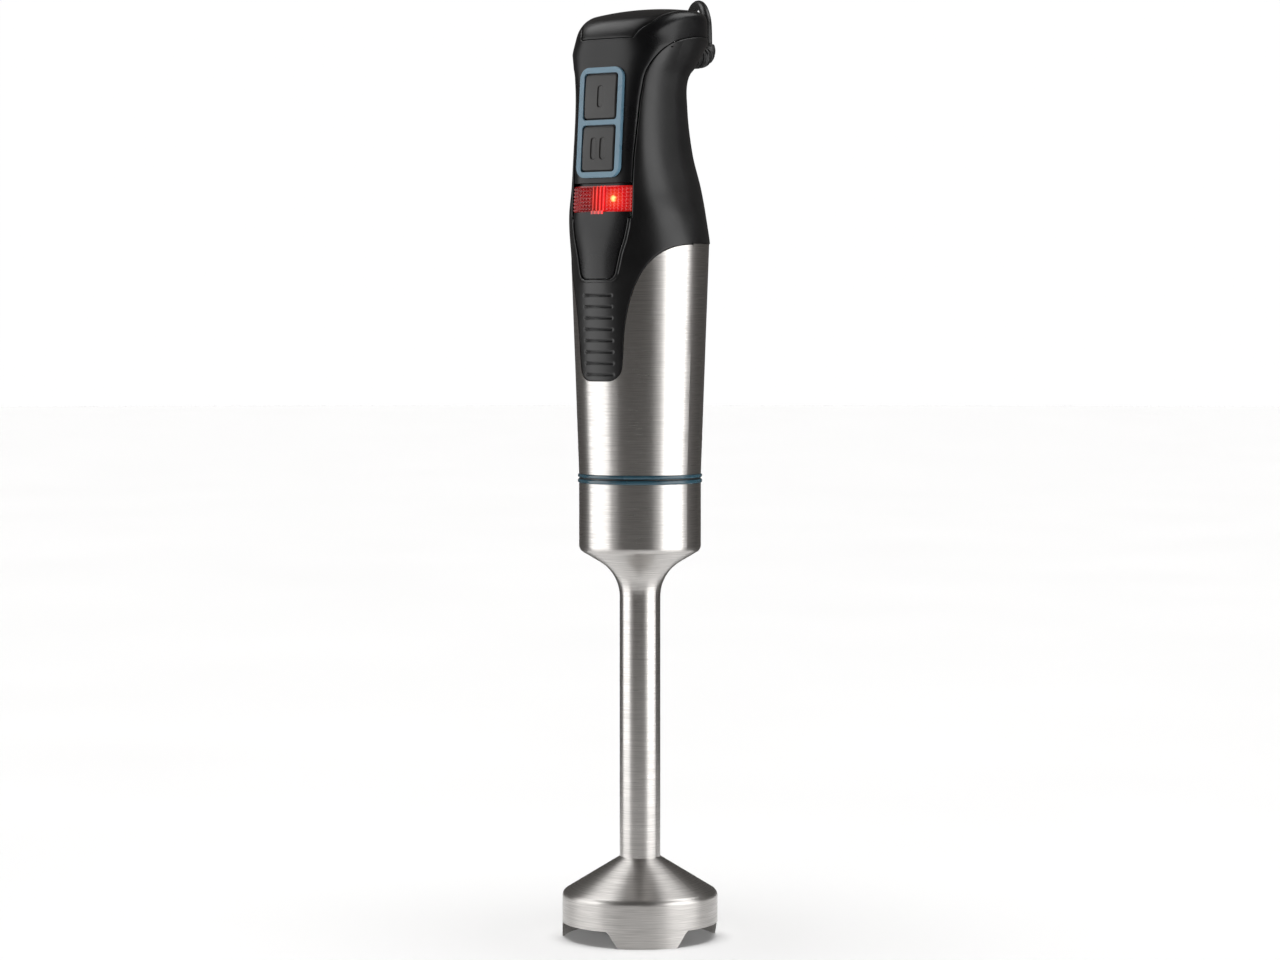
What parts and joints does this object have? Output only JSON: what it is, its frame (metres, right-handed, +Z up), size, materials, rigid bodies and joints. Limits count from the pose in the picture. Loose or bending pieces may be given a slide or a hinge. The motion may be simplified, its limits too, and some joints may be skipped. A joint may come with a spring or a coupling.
{
  "type": "immersion blender",
  "caption": "Corded hand blender: steel shaft with a toothed blade guard, bayonet-locked to a motor unit whose black handle has push buttons and an indicator lens.",
  "frame": {"origin": "on the shaft's axis, at the bottom of the blade guard's teeth", "axes": "+Z up along the shaft, buttons and chin face -Y, +X to the right as seen from the front"},
  "size_m": [0.1013, 0.121, 0.395],
  "materials": {
    "brushed_steel": "satin",
    "bright_steel": "polished",
    "teal_plastic": "gloss",
    "grip_plastic": "soft matte",
    "shell_plastic": "satin",
    "button_plastic": "matte",
    "bezel_plastic": "satin",
    "lens_plastic": "gloss",
    "lamp": "gloss",
    "board": "satin",
    "black_plastic": "satin",
    "pale_plastic": "satin",
    "bearing_brass": "satin",
    "copper": "satin",
    "lamination": "satin",
    "carbon": "matte",
    "rubber": "matte",
    "cord_rubber": "satin",
    "plug_brass": "polished"
  },
  "bodies": {
    "blending_shaft": {"blade_guard": "brushed_steel", "shaft_tube": "brushed_steel", "shaft_ring": "teal_plastic", "shaft_collar": "black_plastic", "upper_bush": "bearing_brass", "lower_bush": "bearing_brass", "shaft_seal": "rubber"},
    "coupling_seal": {"coupling_seal": "rubber"},
    "motor_unit": {"motor_housing": "brushed_steel", "housing_ring": "teal_plastic", "coupling_spigot": "black_plastic", "handle_grip": "grip_plastic", "front_shell": "shell_plastic", "top_cap": "shell_plastic", "button_bezel": "bezel_plastic", "indicator_lens": "lens_plastic", "indicator_leds": "lamp", "switch_board": "board", "microswitches": "black_plastic", "strain_relief": "rubber", "cord_clamp": "pale_plastic", "clamp_screws": "bright_steel", "stator_core": "lamination", "field_coils": "copper", "lower_bracket": "pale_plastic", "upper_bracket": "pale_plastic", "motor_screws": "bright_steel", "brush_holders": "bearing_brass", "brushes": "carbon", "lower_bearing": "bright_steel", "upper_bearing": "bright_steel", "motor_mounts": "rubber", "power_cord": "cord_rubber", "cord_tail": "cord_rubber", "cord_coil": "cord_rubber", "cord_tie": "rubber", "plug_body": "cord_rubber", "plug_blades": "plug_brass"},
    "speed_button": {"speed_button": "button_plastic"},
    "turbo_button": {"turbo_button": "button_plastic"},
    "rotor": {"motor_shaft": "bright_steel", "armature_core": "lamination", "armature_windings": "copper", "commutator": "copper", "cooling_fan": "pale_plastic", "drive_coupling": "pale_plastic"},
    "blade_drive": {"drive_shaft": "bright_steel", "driven_coupling": "pale_plastic", "thrust_washer": "bearing_brass", "blade": "bright_steel", "blade_hub": "bright_steel"}
  },
  "joints": [
    {"name": "unit_lift", "type": "slide", "parent": "blending_shaft", "child": "coupling_seal", "axis": [0, 0, 1], "range_m": [0, 0.055]},
    {"name": "bayonet_turn", "type": "hinge", "parent": "coupling_seal", "child": "motor_unit", "pos_m": [0, 0, 0.1908], "axis": [0, 0, 1], "range_deg": [0, 30]},
    {"name": "speed_button_press", "type": "slide", "parent": "motor_unit", "child": "speed_button", "axis": [0, 0.9963, -0.0863], "range_m": [0, 0.002], "stiffness_N_per_m": 600, "springref_m": -0.001},
    {"name": "turbo_button_press", "type": "slide", "parent": "motor_unit", "child": "turbo_button", "axis": [0, 0.9963, -0.0863], "range_m": [0, 0.002], "stiffness_N_per_m": 600, "springref_m": -0.001},
    {"name": "rotor_spin", "type": "hinge", "parent": "motor_unit", "child": "rotor", "pos_m": [0, 0, 0.24], "axis": [0, 0, 1], "continuous": true},
    {"name": "blade_spin", "type": "hinge", "parent": "blending_shaft", "child": "blade_drive", "pos_m": [0, 0, 0.1], "axis": [0, 0, 1], "continuous": true}
  ],
  "couplings": [
    {"joint": "blade_spin", "follows": "rotor_spin", "ratio": 1}
  ]
}
